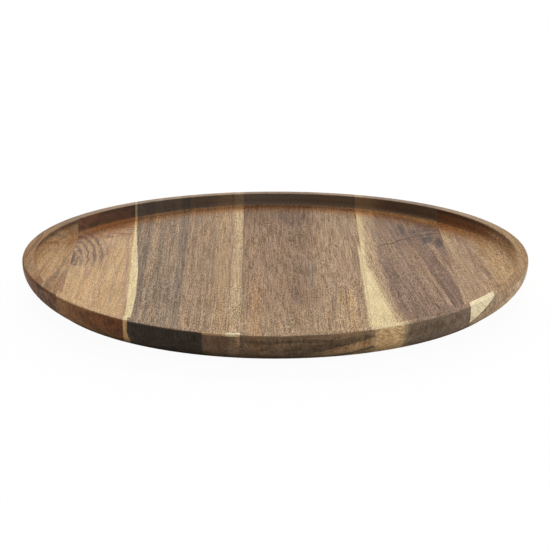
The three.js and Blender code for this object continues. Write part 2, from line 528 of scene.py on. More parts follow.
class Finish:
    """Node builder for one material. Places and sizes are millimetres in the plate's own frame."""

    def __init__(self, name, seed=0.0):
        """seed moves the patterns, so that no two materials share theirs."""
        self.material = bpy.data.materials.new(name)
        self.material.use_nodes = True
        self.tree = self.material.node_tree
        self.tree.nodes.clear()
        self.seed = seed
        self.colour = None
        place = self.add("ShaderNodeTexCoord").outputs["Object"]
        self.plain = self.add("ShaderNodeMapping", Vector=place, Scale=(1 / MM,) * 3).outputs[0]
        self.true_x, self.true_y, self.true_z = self.split(self.plain)
        self.radius = self.hypot(self.true_x, self.true_y)

    def add(self, kind, settings=None, **inputs):
        """New node with its settings and inputs. An input is a value or a socket to link."""
        node = self.tree.nodes.new(kind)
        for key, value in (settings or {}).items():
            setattr(node, key, value)
        for key, value in inputs.items():
            self.feed(node.inputs[key.replace("_", " ")], value)
        return node

    def feed(self, socket, value):
        """Links a socket, or sets its value."""
        if isinstance(value, bpy.types.NodeSocket):
            self.tree.links.new(value, socket)
        elif hasattr(value, "__len__") and len(value) == 3 and len(socket.default_value) == 4:
            socket.default_value = (*value, 1.0)
        else:
            socket.default_value = value

    def worked(self, kind, operation, values):
        """Result of one sum on numbers or vectors."""
        node = self.add(kind, {"operation": operation})
        for socket, value in zip(node.inputs, values):
            self.feed(socket, value)
        return node.outputs[0]

    def math(self, operation, *values):
        """Result of one sum on numbers."""
        return self.worked("ShaderNodeMath", operation, values)

    def vector(self, operation, *values):
        """Result of one sum on vectors."""
        return self.worked("ShaderNodeVectorMath", operation, values)

    def split(self, vector):
        """The three numbers of a vector."""
        return self.add("ShaderNodeSeparateXYZ", Vector=vector).outputs[:3]

    def join(self, x, y, z):
        """A vector of three numbers."""
        return self.add("ShaderNodeCombineXYZ", X=x, Y=y, Z=z).outputs[0]

    def square(self, value):
        """A number times itself."""
        return self.math("MULTIPLY", value, value)

    def hypot(self, first, second):
        """Root of the sum of two squares."""
        return self.math("SQRT", self.math("ADD", self.square(first), self.square(second)))

    def turned(self, first, second, degrees):
        """Two numbers turned about their origin."""
        c, s = math.cos(math.radians(degrees)), math.sin(math.radians(degrees))
        along = self.math("MULTIPLY_ADD", first, c, self.math("MULTIPLY", second, s))
        aside = self.math("MULTIPLY_ADD", first, -s, self.math("MULTIPLY", second, c))
        return along, aside

    def sized(self, vector, sizes):
        """A vector measured in the given sizes, moved by the seed."""
        shift = tuple(self.seed * stride for stride in SEED_STRIDE)
        scale = tuple(1.0 / size for size in sizes)
        return self.add("ShaderNodeMapping", Vector=vector, Scale=scale, Location=shift).outputs[0]

    def stirred(self, vector, sizes, reach):
        """A vector pushed about by a soft cloud of the given sizes, by up to about half the reach."""
        cloud = self.cloud(vector, sizes).outputs["Color"]
        push = self.vector("SUBTRACT", cloud, (0.5, 0.5, 0.5))
        return self.vector("ADD", vector, self.vector("MULTIPLY", push, reach))

    def wandering(self, share):
        """The plain place, pushed about by the slow wandering of the grain."""
        return self.stirred(self.plain, WANDER, tuple(share * reach for reach in WANDER_REACH))

    def cloud(self, vector, sizes, detail=2.0, roughness=0.5):
        """Noise node whose clouds have the given sizes."""
        node = self.add("ShaderNodeTexNoise", Vector=self.sized(vector, sizes), Scale=1.0)
        node.inputs["Detail"].default_value = detail
        node.inputs["Roughness"].default_value = roughness
        return node

    def noise(self, vector, sizes, detail=2.0, roughness=0.5):
        """Cloud of the given sizes, as a number between 0 and 1."""
        return self.cloud(vector, sizes, detail, roughness).outputs[0]

    def clouds(self, vector, sizes, low, high, detail=3.0, roughness=0.6):
        """Mask of the places where a cloud rises from low to high."""
        return self.step(self.noise(vector, sizes, detail, roughness), low, high)

    def stray(self, vector, sizes, reach, detail=3.0, roughness=0.6):
        """Cloud about 0, by at most about half the reach to both sides."""
        cloud = self.noise(vector, sizes, detail, roughness)
        return self.math("MULTIPLY_ADD", cloud, reach, -reach / 2)

    def step(self, value, low, high):
        """Smooth rise from 0 at low to 1 at high."""
        node = self.add("ShaderNodeMapRange", {"interpolation_type": "SMOOTHSTEP"}, Value=value)
        node.inputs["From Min"].default_value = low
        node.inputs["From Max"].default_value = high
        return node.outputs[0]

    def fall(self, value, low, high):
        """Smooth fall from 1 at low to 0 at high."""
        return self.flip(self.step(value, low, high))

    def between(self, value, low, high, soft):
        """1 between two limits, falling to 0 over a soft distance outside them."""
        return self.both(self.step(value, low - soft, low), self.fall(value, high, high + soft))

    def bell(self, value, middle, spread):
        """Bell curve of a value about a middle."""
        share = self.math("MULTIPLY_ADD", value, 1.0 / spread, -middle / spread)
        return self.math("EXPONENT", self.math("MULTIPLY", self.square(share), -1.0))

    def both(self, *masks):
        """Product of masks and numbers."""
        result = masks[0]
        for mask in masks[1:]:
            result = self.math("MULTIPLY", result, mask)
        return result

    def flip(self, mask):
        """One minus a mask."""
        return self.math("SUBTRACT", 1.0, mask)

    def spared(self, mask, share):
        """One, less a share of a mask."""
        return self.flip(self.both(mask, share))

    def mix(self, factor, first, second, blend="MIX"):
        """Two colours blended by a factor."""
        node = self.add("ShaderNodeMix", {"data_type": "RGBA", "blend_type": blend})
        for index, value in ((0, factor), (6, first), (7, second)):
            self.feed(node.inputs[index], value)
        return node.outputs[2]

    def lay(self, colour, *masks):
        """Lays a colour over the last one where all the masks allow it."""
        if self.colour is None:
            self.colour = colour
        else:
            self.colour = self.mix(self.both(*masks), self.colour, colour)

    def stain(self, colour, *masks):
        """Multiplies the last colour by another where all the masks allow it."""
        self.colour = self.mix(self.both(*masks), self.colour, colour, "MULTIPLY")

    def blend(self, share, first, second):
        """Two shaders mixed by a share."""
        node = self.add("ShaderNodeMixShader", Fac=share)
        self.feed(node.inputs[1], first.outputs[0])
        self.feed(node.inputs[2], second.outputs[0])
        return node

    def shown(self, shader):
        """The material, with a shader led to its surface."""
        self.add("ShaderNodeOutputMaterial", Surface=shader.outputs[0])
        return self.material


class Board(Finish):
    """Wood of one board: the grain that runs through it and the turned surfaces that cut it.

    x and y wander with the grain, and true_x, true_y and true_z do not.
    """

    def __init__(self, name, form, seed, lean, pith, tilt=0.0, wander=0.8):
        """Finds a place in the tree.

        lean turns the grain off Y in degrees. pith is where the tree's middle lies across and up, and
        tilt is its slope along the board. wander is the share in which the grain strays.
        """
        super().__init__(name, seed)
        self.place = self.wandering(wander)
        self.x, self.y = self.split(self.place)[:2]
        spin = (0.0, 0.0, -math.radians(lean))
        self.fibres = self.add("ShaderNodeMapping", Vector=self.place, Rotation=spin).outputs[0]
        across, along, up = self.split(self.fibres)
        aside = self.math("SUBTRACT", across, pith[0])
        above = self.math("MULTIPLY_ADD", along, tilt, self.math("SUBTRACT", up, pith[1]))
        self.rings = self.join(self.hypot(aside, above), along, up)
        self.frayed = self.math("ADD", across, self.stray(self.fibres, FRAY, FRAY_REACH))
        self.end = self.add("ShaderNodeAttribute", {"attribute_name": "end_grain"}).outputs["Fac"]
        self.mark_surfaces(form)

    def mark_surfaces(self, form):
        """Masks of the turned surfaces, from the plate's sizes."""
        lip_edge = (form.rim_radius - form.lip_width) / MM
        foot = (form.rim_radius - form.foot_inset - form.foot_edge) / MM
        top, floor = form.height / MM, (form.height - form.well_depth) / MM
        rise = form.end_rise * MM / form.rim_radius**2
        x, y, z = self.true_x, self.true_y, self.true_z
        past_edge = self.step(self.radius, lip_edge + 0.1, lip_edge + 0.5)
        self.well = self.both(self.flip(past_edge), self.step(z, floor - 2, floor - 1))
        outer = self.math("MULTIPLY_ADD", self.step(y, 60, 130), 1.2, self.radius)
        self.well_wall = self.both(self.step(outer, lip_edge - 2.3, lip_edge - 1.0), self.well)
        cove = self.between(self.radius, lip_edge - 5.5, lip_edge - 2.4, 1.0)
        self.cove_ring = self.both(cove, self.well)
        # Floor and cove by the back wall, where the painted shade and orange glow of the corner go
        self.corner = self.both(
            self.step(self.radius, lip_edge - 26, lip_edge - 8), self.step(y, 50, 110), self.well
        )
        level = self.math("MULTIPLY_ADD", self.square(x), -rise, z)
        self.lip = self.both(past_edge, self.step(level, top - 2.2, top - 0.6))
        # Painted shade line along the lip's inner edge
        self.lip_edge_shade = self.bell(self.radius, lip_edge - 0.1, 0.4)
        self.outside = self.both(
            self.flip(self.well), self.flip(self.lip), self.step(self.radius, foot - 1, foot + 1)
        )
        self.ahead = self.fall(y, -20, 0)
        self.front_wall = self.both(self.step(self.end, 0.2, 0.6), self.ahead)

    def ribbon(self, low, high, soft=0.7):
        """Stripe along the fibres between two places across the board, with frayed edges."""
        return self.between(self.frayed, low, high, soft)

    def streaks(self, width, run, low=0.42, high=0.60):
        """Streaks along the rings: about width apart and run long."""
        return self.clouds(self.rings, (width, run, 3 * width), low, high)

    def lines(self, width, run, low, high):
        """Fine lines along the fibres."""
        return self.clouds(self.fibres, (width, run, width), low, high)

    def patch(self, x, y, width, run, lean=0.0, soft=0.9, torn=1.2):
        """Oval about (x, y) of half sizes width and run, turned by lean degrees, with a torn edge."""
        dx, dy = self.math("SUBTRACT", self.x, x), self.math("SUBTRACT", self.y, y)
        across, along = self.turned(dx, dy, lean)
        reach = self.hypot(self.math("DIVIDE", across, width), self.math("DIVIDE", along, run))
        reach = self.math("ADD", reach, self.stray(self.fibres, TEAR, torn))
        return self.fall(reach, 1.0 - soft, 1.0)

    def patches(self, *rows):
        """Lays patches in turn. A row holds a colour and its strength, then what patch takes."""
        for colour, strength, *oval in rows:
            self.lay(colour, self.patch(*oval), strength)

    def dot(self, x, y, radius):
        """Small spot with a clean edge, longer along the fibres."""
        across = self.math("MULTIPLY_ADD", self.true_x, 1.0 / radius, -x / radius)
        along = self.math("MULTIPLY_ADD", self.true_y, 0.45 / radius, -0.45 * y / radius)
        return self.fall(self.hypot(across, along), 0.5, 1.0)

    def hairline(self, start, stop, width, sway):
        """Thin line on the plan between two points, swaying to both sides."""
        run = math.dist(start, stop)
        heading = math.degrees(math.atan2(stop[1] - start[1], stop[0] - start[0]))
        dx, dy = self.math("SUBTRACT", self.x, start[0]), self.math("SUBTRACT", self.y, start[1])
        along, aside = self.turned(dx, dy, heading)
        aside = self.math("ADD", aside, self.stray(self.plain, (6, 6, 6), 2 * sway, 2.0, 0.5))
        ends = self.between(along, 0.5, run - 0.5, 2.0)
        return self.both(ends, self.fall(self.math("ABSOLUTE", aside), 0.3 * width, width))

    def slanting(self, low, high, slope, foot):
        """0 at low and 1 at high above a line on the front wall that climbs by slope from foot."""
        lifted = self.math("ADD", self.true_z, slope * foot)
        return self.step(self.math("MULTIPLY_ADD", self.true_x, -slope, lifted), low, high)

    def flecks(self, slope):
        """Short slanting flashes on the front wall, as of rays in sapwood that is cut across."""
        along, aside = self.turned(self.true_x, self.true_z, slope)
        return self.clouds(self.join(along, aside, self.true_y), RAY_FLECKS, 0.50, 0.62, 2.0, 0.5)

    def finish(self, tones, pores, grain, threads, sap=0.0, stir=0.5):
        """Adds what all boards share and returns the material.

        pores, grain and threads are the strengths of open pores, of grain and of its long fibres.
        stir is how much the fibres wave. sap masks sapwood, which is calmer and cuts cleaner.
        """
        cut = self.step(self.math("ABSOLUTE", self.end), 0.3, 0.8)
        calm = self.both(self.spared(sap, 0.5), self.spared(cut, 0.65))
        fibres = self.stirred(self.fibres, WAVE, (WAVE_REACH * stir, 0.0, WAVE_REACH * stir))
        thread = self.noise(fibres, THREAD, 1.0, 0.6)
        self.add_grain(fibres, thread, threads, calm, grain)
        open_pores = self.both(self.dashes(fibres), calm)
        self.stain(tones.vessel, open_pores, pores)
        self.age(tones)
        self.cut_across(sap)
        return self.with_sheen(thread, open_pores)

    def add_grain(self, fibres, thread, threads, calm, grain):
        """Grit, long threads and strands of the fibres, and their drift between warm and cool."""
        strand = self.noise(fibres, STRAND)
        lined = self.math("MULTIPLY_ADD", strand, 0.4, -1.0 - threads / 2)
        lined = self.math("MULTIPLY_ADD", thread, threads, lined)
        fine = self.math("MULTIPLY_ADD", self.noise(fibres, GRIT, 0.0), 2.6, lined)
        tint = self.mix(self.noise(fibres, TINT), TINT_WARM, TINT_COOL)
        shade = self.mix(0.4, self.mix(fine, GRAIN_DARK, GRAIN_LIGHT), tint, "MULTIPLY")
        self.stain(shade, calm, grain)

    def dashes(self, fibres):
        """Short dashes of open pores, which crowd in some of the rings."""
        cell = self.add("ShaderNodeTexVoronoi", Vector=self.sized(fibres, PORES), Scale=1.0)
        crowd = self.clouds(self.rings, PORE_CROWDS, 0.28, 0.60, 2.0, 0.5)
        return self.both(self.fall(cell.outputs["Distance"], 0.06, 0.28), crowd)

    def age(self, tones):
        """Painted shade and glow in the back corner, a darker well wall, and painted shade and sheen
        on the lip.
        """
        x, y = self.true_x, self.true_y
        # Painted shade with an orange glow, as of light bounced in the corner by the back wall
        self.stain(tones.oil_and_corner_glow, self.corner, self.flip(self.well_wall))
        # Well's wall darker, most at the back: partly its end grain, partly painted shade
        soaked_and_shaded = self.math("MULTIPLY_ADD", self.step(y, 40, 130), 0.95, 0.05)
        self.stain(tones.wall_end_grain_and_shade, self.well_wall, soaked_and_shaded)
        # Painted shade on the lip, all round but the front: strongest at the left end, less at the
        # right
        left = self.both(self.fall(x, -150, -90), 0.75)
        right = self.both(self.step(x, 130, 150), 0.5)
        shaded = self.math("ADD", self.math("ADD", left, right), 0.25)
        self.stain(tones.shaded_lip, self.lip, self.step(y, -120, -60), shaded)
        # Painted greyish sheen on the lip at the back
        self.lay(tones.bloom_and_sheen, self.lip, self.step(y, 20, 100), 0.5)

    def cut_across(self, sap):
        """Deeper colour and mottling where the turned wall cuts across the fibres."""
        deeper = self.add("ShaderNodeGamma", Color=self.colour, Gamma=1.3).outputs[0]
        self.lay(deeper, self.step(self.end, 0.30, 0.90), self.spared(sap, 0.85))
        speck = self.noise(self.plain, SPECKS, 1.0)
        upright = self.noise(self.plain, UPRIGHT_STREAKS)
        blotch = self.math("MULTIPLY_ADD", self.noise(self.plain, BLOTCHES), 1.2, -1.4)
        streaked = self.math("MULTIPLY_ADD", upright, 1.4, blotch)
        speckled = self.math("MULTIPLY_ADD", speck, 1.2, streaked)
        mottled = self.mix(speckled, MOTTLE_DARK, MOTTLE_LIGHT)
        self.stain(mottled, self.outside, self.spared(sap, 0.65))

    def with_sheen(self, thread, open_pores):
        """Material with the low sheen of oil and the slight relief of threads and pores."""
        even = self.math("MULTIPLY_ADD", thread, 0.16, ROUGHNESS - 0.08)
        rough = self.math("MULTIPLY_ADD", open_pores, 0.2, even)
        height = self.math("MULTIPLY_ADD", open_pores, -1.0, self.math("MULTIPLY", thread, 0.35))
        bump = self.add("ShaderNodeBump", Strength=RELIEF_STRENGTH, Distance=RELIEF, Height=height)
        shader = self.add("ShaderNodeBsdfPrincipled", Base_Color=self.colour, Roughness=rough)
        self.feed(shader.inputs["Normal"], bump.outputs[0])
        shader.inputs["Specular IOR Level"].default_value = SHEEN
        return self.shown(shader)


def left_end_wood(tones, form):
    """Golden board with an orange patch at the back and grey streaks at the front."""
    wood = Board("left_end_wood", form, seed=1.0, lean=-5.0, pith=(-215.0, -30.0))
    wood.lay(tones.golden)
    wood.lay(tones.straw, wood.streaks(3.6, 120, 0.46, 0.58), 0.75)
    wood.lay(tones.rust, wood.streaks(3.4, 160, 0.50, 0.60), 0.5)
    wood.lay(tones.moss, wood.streaks(2.0, 120, 0.53, 0.62), 0.5)
    wood.patches(
        (tones.honey, 0.55, -149, 18, 5, 32),
        (tones.amber, 0.85, -140, 62, 6, 24),
        (tones.amber, 0.5, -148, -8, 4, 8),
        (tones.moss, 0.75, -140.2, 16, 1.8, 30),
        (tones.moss, 0.9, -142.6, -12, 2.4, 18, -6),
        (tones.moss, 0.85, -145.2, -26, 3.2, 14, -8),
        (tones.rose, 0.55, -138, -40, 4, 22),
    )
    wood.lay(tones.rust, wood.fall(wood.y, -50, 0), wood.well, 0.48)
    wood.lay(tones.pore, wood.dot(-151, 59, 0.8), 0.8)

    # Outer wall, a painted shade line along the lip's inner edge, and the lip behind
    wall = wood.both(wood.step(wood.end, 0.04, 0.3), wood.fall(wood.true_y, -30, 0))
    sooty = wood.clouds(wood.plain, (4, 4, 3), 0.42, 0.58)
    wood.lay(tones.rust, wall, 0.8)
    wood.lay(tones.amber, wall, 0.25)
    wood.stain(tones.oil_and_corner_glow, wall, 0.25)
    wood.lay(tones.pore, wall, sooty, wood.step(wood.true_x, -158, -148), 0.75)
    wood.lay(tones.pore, wood.lip_edge_shade, wood.step(wood.true_y, -10, 30), 0.8)
    wood.lay(tones.moss, wood.lip, wood.step(wood.true_y, 40, 80), 0.4)
    return wood.finish(tones, pores=0.3, grain=0.65, threads=1.8)


def lay_half_knot(wood, tones):
    """Dark arcs of half a knot, cut off by the joint at the left of the second board.

    The arcs follow the distance from the knot's middle in an oval whose length grows with that
    distance, so two rounds settle it. Sines of it, bent by a cloud, give broad and fine arcs.
    """
    aside = wood.math("MULTIPLY_ADD", wood.x, 1 / KNOT_WIDTH, -KNOT_MIDDLE[0] / KNOT_WIDTH)
    along = wood.math("SUBTRACT", wood.y, KNOT_MIDDLE[1])
    knot = wood.hypot(aside, wood.math("DIVIDE", along, KNOT_FIRST_LENGTH))
    for _ in range(2):
        tall = wood.math("MULTIPLY_ADD", knot, KNOT_RING_LENGTH, KNOT_CORE_LENGTH)
        knot = wood.hypot(aside, wood.both(wood.math("DIVIDE", along, tall), knot))
    cloud = wood.noise(wood.place, (4, 14, 8), 3.0)
    bent = wood.math("MULTIPLY_ADD", cloud, 0.22, knot)
    broken = wood.stray(wood.place, (3, 26, 8), 2.4, 2.0, 0.5)
    broad = wood.math("ADD", wood.math("SINE", wood.math("MULTIPLY_ADD", bent, 25.0, 0.3)), broken)
    fine = wood.math("SINE", wood.math("MULTIPLY_ADD", bent, 62.0, 1.0))
    within = wood.both(wood.fall(knot, 1.15, 1.6), wood.step(wood.y, -12, 24))
    wood.lay(tones.rose, within, 0.45)
    wood.lay(tones.damson, wood.step(broad, -0.4, 1.0), within, 0.72)
    wood.lay(tones.damson, wood.step(fine, 0.2, 0.9), within, wood.step(cloud, 0.36, 0.56), 0.45)
    wood.patches(
        (tones.damson, 0.9, -134.6, 19, 1.5, 15, 0.0, 0.5, 0.6),
        (tones.damson, 0.6, -131.2, 20, 1.0, 16, 0.0, 0.5, 0.6),
        (tones.damson, 0.7, -132.5, 8, 3.0, 3.0),
    )


def second_wood(tones, form):
    """Honey board with half a knot in its left edge and rust-brown wood behind it."""
    wood = Board("second_wood", form, seed=2.0, lean=-2.0, pith=(-210.0, -30.0))
    wood.lay(tones.honey)
    wood.lay(tones.wheat, wood.streaks(6.0, 140), 0.45)
    wood.lay(tones.rose, wood.streaks(2.6, 90, 0.50, 0.66), 0.5)
    wood.patches(
        (tones.rose, 0.8, -122, -12, 4.0, 13),
        (tones.rose, 0.6, -130, -12, 3.0, 16),
        (tones.rose, 0.55, -113, -30, 3.0, 34, -5),
    )
    by_joint = wood.math("MULTIPLY_ADD", wood.y, math.tan(math.radians(LEANS[1])), wood.x)
    wood.lay(tones.rose, wood.bell(by_joint, JOINTS_MM[1] - 2.2, 1.3), 0.8)
    wood.lay(tones.rose, wood.step(wood.y, 60, 84), 0.6)

    # Rust-brown wood by the back wall, with painted reddish shade in rings that follow the wall
    back = wood.both(wood.step(wood.y, 40, 60), wood.well)
    wood.lay(tones.amber, wood.step(wood.y, 78, 108), wood.well, 0.25)
    # Painted reddish shade in rings along the back wall
    wood.lay(tones.rust, wood.step(wood.radius, 140, 148), back, 0.35)
    wood.lay(tones.rust, wood.step(wood.radius, 146, 153), back, 0.4)
    ripple = wood.clouds(wood.place, (16, 3.4, 8), 0.47, 0.57, 2.0, 0.5)
    behind = wood.both(wood.between(wood.y, 72, 100, 8), wood.step(wood.x, -132, -122), wood.well)
    wood.lay(tones.rust, ripple, behind, 0.65)
    wood.patches(
        (tones.damson, 0.55, -114, 76, 5, 8),
        (tones.rose, 0.5, -112, 56, 12, 22),
    )

    lay_half_knot(wood, tones)
    wood.lay(tones.pore, wood.dot(-133.5, -36, 0.7), 0.7)
    wood.lay(tones.pore, wood.dot(-109, -86, 0.6), 0.7)

    # Turned surfaces
    mottled = wood.clouds(wood.plain, (9, 9, 5), 0.42, 0.62)
    warm = wood.clouds(wood.plain, (7, 7, 9), 0.46, 0.60, 2.0, 0.5)
    wood.lay(tones.rust, wood.well_wall, wood.step(wood.y, 20, 60), 0.9)
    # Painted orange glow on the cove at the back
    wood.lay(tones.amber, wood.cove_ring, wood.step(wood.y, 60, 90), 0.5)
    wood.lay(tones.pore, wood.well_wall, mottled, 0.55)
    wood.lay(tones.rust, wood.lip, wood.step(wood.y, 60, 90), 0.45)
    wood.lay(tones.rust, wood.front_wall, 0.92)
    wood.lay(tones.amber, wood.front_wall, 0.3)
    wood.stain(tones.oil_and_corner_glow, wood.front_wall, 0.3)
    wood.lay(tones.pore, wood.front_wall, mottled, 0.22)
    wood.lay(tones.amber, wood.front_wall, warm, wood.fall(wood.true_x, -116, -98), 0.5)
    corner = wood.both(wood.fall(wood.true_x, -131, -124), wood.step(wood.true_z, 6, 12))
    wood.lay(tones.amber, wood.front_wall, corner, 0.6)
    return wood.finish(tones, pores=0.2, grain=0.6, threads=1.8)


def third_wood(tones, form):
    """Grey-brown board with a cream sapwood edge at its left and a pale edge at its right."""
    wood = Board("third_wood", form, seed=3.0, lean=0.0, pith=(-190.0, -30.0), wander=0.2)
    back, middle = wood.step(wood.y, -50, 20), wood.between(wood.y, -40, 50, 50)
    wood.lay(tones.taupe)
    wood.lay(tones.slate, wood.ribbon(-91, -85), 0.55)
    wood.lay(tones.slate, wood.ribbon(-89, -85.5), middle, 0.55)
    wood.lay(tones.fawn, wood.ribbon(-84, -79.5), back, 0.75)
    wood.lay(tones.straw, wood.ribbon(-82, -80.2), back, 0.35)
    wood.lay(tones.slate, wood.ribbon(-78.4, -76.2), middle, 0.75)
    wood.lay(tones.fawn, wood.ribbon(-75, -66), back, 0.4)
    wood.lay(tones.biscuit, wood.ribbon(-70, -67), back, 0.35)
    wood.lay(tones.fawn, wood.step(wood.frayed, -60.5, -59.5))
    wood.lay(tones.slate, wood.ribbon(-63.6, -60.6), 0.85)
    wood.lay(tones.slate, wood.ribbon(-66, -64), wood.step(wood.y, 40, 90), 0.5)
    wood.lay(tones.umber, wood.ribbon(-56, -54.6), wood.step(wood.y, -20, 30), 0.3)
    wood.lay(tones.umber, wood.ribbon(-49, -47.5), 0.25)
    wood.lay(tones.wheat, wood.step(wood.frayed, -41.5, -39.5), 0.5)
    wood.lay(tones.umber, wood.ribbon(-41.6, -40.8, 0.4), middle, 0.55)
    wood.lay(tones.straw, wood.step(wood.frayed, -33, -30.5), 0.45)
    wood.lay(tones.taupe, wood.ribbon(-30.6, -29.0, 0.5), 0.6)
    wood.lay(tones.straw, wood.step(wood.frayed, -28.6, -28.0), 0.9)
    wood.lay(tones.cream, wood.step(wood.frayed, -27.6, -26.8), 0.16)
    wood.lay(tones.biscuit, wood.fall(wood.y, -110, -60), 0.25)
    wood.lay(tones.slate, wood.streaks(1.5, 900, 0.47, 0.60), 0.28)
    wood.lay(tones.biscuit, wood.streaks(2.3, 900, 0.50, 0.64), 0.28)
    wood.lay(tones.straw, wood.lines(0.9, 60, 0.52, 0.66), 0.3)
    wood.lay(tones.umber, wood.lines(0.8, 40, 0.53, 0.66), 0.4)

    # Turned surfaces: the wall is black left of a growth ring, and the lip is pale by the joint
    x, y, z = wood.true_x, wood.true_y, wood.true_z
    past_ring = wood.step(x, -44.5, -43.5)
    wood.lay(tones.char, wood.well_wall, wood.fall(x, -50, -30), 0.4)
    wood.lay(tones.char, wood.front_wall, wood.flip(past_ring), 0.9)
    wood.lay(tones.umber, wood.front_wall, past_ring, 0.5)
    strip = wood.both(wood.ahead, wood.step(x, -45, -43), wood.step(z, 17.9, 18.5))
    by_joint = wood.both(wood.step(wood.radius, 160.0, 161.0), wood.step(x, -30.5, -29.5))
    wood.lay(tones.honey, strip, wood.step(wood.radius, 162.6, 163.3), 0.8)
    wood.lay(tones.pale, strip, by_joint, 0.7)
    wood.lay(tones.honey, wood.front_wall, wood.step(x, -23.8, -23.2), wood.step(z, 9, 16), 0.7)

    # Sapwood along the left joint, widest a little ahead of the middle and low on the front wall
    past_joint = wood.math("SUBTRACT", x, JOINTS_MM[1])
    past_joint = wood.math("MULTIPLY_ADD", y, math.tan(math.radians(LEANS[1])), past_joint)
    low = wood.both(wood.front_wall, wood.fall(z, 1, 12), 2.4)
    breadth = wood.math("MULTIPLY_ADD", wood.bell(y, -32, 100), 4.7, wood.math("ADD", low, 0.9))
    frayed = wood.stray(wood.fibres, (1, 30, 2), 1.0, 3.0, 0.5)
    beyond = wood.math("ADD", wood.math("SUBTRACT", past_joint, breadth), frayed)
    sap = wood.fall(beyond, -0.4, 0.4)
    wood.lay(tones.slate, wood.fall(beyond, 0.6, 5.0), 0.35)
    wood.lay(tones.cream, sap)
    wood.stain(tones.oil_and_corner_glow, sap, wood.front_wall, 0.85)
    return wood.finish(tones, pores=0.2, grain=0.9, threads=2.0, sap=sap, stir=0.25)


def fourth_wood(tones, form):
    """Wide reddish-brown board, flat sawn: dark feathered middle, and light streaks at its right."""
    wood = Board("fourth_wood", form, seed=4.0, lean=0.0, pith=(19.0, -42.0), tilt=-0.085)
    wood.lay(tones.russet)
    wood.lay(tones.fawn, wood.streaks(2.0, 130), 0.7)
    wood.lay(tones.umber, wood.streaks(1.1, 80, 0.50, 0.64), 0.40)
    wood.lay(tones.umber, wood.step(wood.y, 20, 140), 0.55)
    wood.lay(tones.amber, wood.ribbon(-16, -10, 2.0), wood.fall(wood.y, -60, 10), 0.35)
    wood.patches((tones.amber, 0.30, -14, 40, 3.0, 20))
    wood.lay(tones.biscuit, wood.step(wood.x, 22, 36), 0.5)
    wood.lay(tones.wheat, wood.ribbon(44.5, 49.5, 1.0), wood.fall(wood.y, -70, -30), 0.75)
    wood.lay(tones.wheat, wood.ribbon(39.5, 42.5, 1.0), wood.fall(wood.y, -60, 0), 0.5)
    wood.patches(
        (tones.biscuit, 0.4, 33, -60, 6, 50),
        (tones.umber, 0.6, 11, 126, 13, 38),
        (tones.smoke, 0.55, 8.5, 118, 3.4, 30, 12),
        (tones.smoke, 0.55, 19.5, 118, 3.4, 30, -12),
    )
    wood.lay(tones.umber, wood.bell(wood.x, 14, 9.0), wood.between(wood.y, -70, 80, 50), 0.3)
    wood.patches(
        (tones.damson, 0.5, 13, -56, 4.5, 28),
        (tones.moss, 0.40, 23.5, -22, 4.0, 44),
    )
    wood.lay(tones.umber, wood.ribbon(51.6, 54.4, 1.0), wood.fall(wood.y, 20, 70), 0.2)
    for start, stop in (
        ((44.4, -42), (44.8, -112)),
        ((38.8, -36), (36.0, -110)),
        ((36.0, -60), (34.0, -120)),
        ((4.0, -78), (13.0, -118)),
        ((10.0, -96), (16.0, -128)),
        ((30.5, -18), (33.0, -44)),
    ):
        wood.lay(tones.umber, wood.hairline(start, stop, 0.8, sway=0.6), 0.6)
    wood.lay(tones.straw, wood.fall(wood.y, -140, -40), 0.36)

    # Front wall: level bands, then growth rings that climb to the right, dark and light in turn
    x, y = wood.true_x, wood.true_y
    bands = wood.clouds(wood.plain, (26, 40, 1.6), 0.45, 0.62, 2.0, 0.5)
    wood.lay(tones.char, wood.front_wall, bands, 0.4)
    wood.lay(tones.char, wood.front_wall, 0.25)
    upper_ring = wood.slanting(5.4, 6.8, 0.23, 20)
    arched = wood.both(upper_ring, wood.flip(wood.slanting(11.6, 13.2, 0.1, 20)))
    wood.lay(tones.char, wood.front_wall, arched, wood.step(x, -4, 24), 0.32)
    inside = wood.both(wood.slanting(3.6, 4.6, 0.3, 44), wood.flip(upper_ring))
    wood.lay(tones.honey, wood.front_wall, inside, wood.step(x, 10, 42), 0.75)
    thin = wood.both(wood.slanting(2.0, 3.0, 0.3, 44), wood.flip(wood.slanting(3.8, 4.8, 0.3, 44)))
    wood.lay(tones.char, wood.front_wall, thin, wood.step(x, 26, 40), 0.6)
    wedge = wood.both(wood.flip(wood.slanting(1.6, 2.6, 0.3, 44)), wood.step(x, 36, 48))

    # Bloom on the back wall, and a sliver of sapwood along the right joint
    sliver = wood.math("ADD", x, wood.stray(wood.fibres, (1, 30, 2), 1.6, 3.0, 0.5))
    sap = wood.both(wood.step(sliver, 55.4, 56.8), wood.between(y, -150, 30, 35))
    wood.lay(tones.bloom_and_sheen, wood.well_wall, wood.fall(x, 22, 36), wood.step(y, 60, 100), 0.6)
    wood.lay(tones.cream, sap, wood.flip(wood.front_wall), 0.8)
    wood.lay(tones.straw, wood.front_wall, wedge, 0.9)
    return wood.finish(tones, pores=0.25, grain=1.0, threads=2.2, sap=sap)


